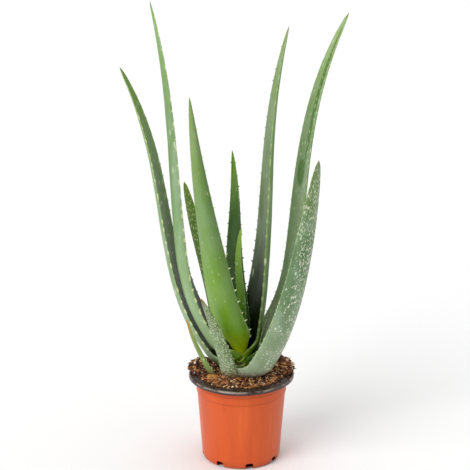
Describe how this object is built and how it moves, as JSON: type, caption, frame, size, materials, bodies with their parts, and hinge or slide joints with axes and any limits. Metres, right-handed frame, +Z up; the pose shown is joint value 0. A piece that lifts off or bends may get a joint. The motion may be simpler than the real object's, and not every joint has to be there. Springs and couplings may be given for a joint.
{
  "type": "potted aloe plant",
  "caption": "Aloe plant: a rosette of tall, tapering, toothed succulent leaves in a round thin-walled plastic nursery pot filled with bark potting mix.",
  "frame": {"origin": "on the pot's axis, on the surface that the pot stands on, at the middle of its centre pad", "axes": "+Z up along the pot's axis and the tallest leaf, -Y towards the side with the broad front leaf, +X to the right of it"},
  "size_m": [0.2551, 0.1871, 0.5236],
  "materials": {
    "terracotta_plastic": "satin terracotta outside, black inside and on the lip",
    "potting_mix": "rough dark peat and bark",
    "bark": "rough tan bark",
    "crown": "smooth pale stem flesh",
    "leaf_young": "satin bright green, yellow-green at the foot, pale teeth",
    "leaf_green": "satin mid green with pale flecks and pale teeth",
    "leaf_grey": "satin grey-green with a waxy bloom, white spots and pale teeth",
    "leaf_old": "yellow-green with a yellow-brown tip"
  },
  "bodies": {
    "root": {"nursery_pot": "terracotta_plastic", "potting_mix": "potting_mix", "bark_chip_1": "bark", "bark_chip_2": "bark", "bark_chip_3": "bark", "bark_chip_4": "bark", "bark_chip_5": "bark", "bark_chip_6": "bark", "crown": "crown", "leaf_heart": "leaf_young", "leaf_back_inner": "leaf_green", "leaf_front_broad": "leaf_young", "leaf_right_inner": "leaf_green", "leaf_left_tallest": "leaf_grey", "leaf_right_tallest": "leaf_green", "leaf_left_outer": "leaf_grey", "leaf_left_spotted": "leaf_green", "leaf_right_spotted": "leaf_grey", "leaf_right_hidden": "leaf_green", "leaf_front_short": "leaf_grey", "leaf_left_old": "leaf_old"}
  },
  "joints": []
}
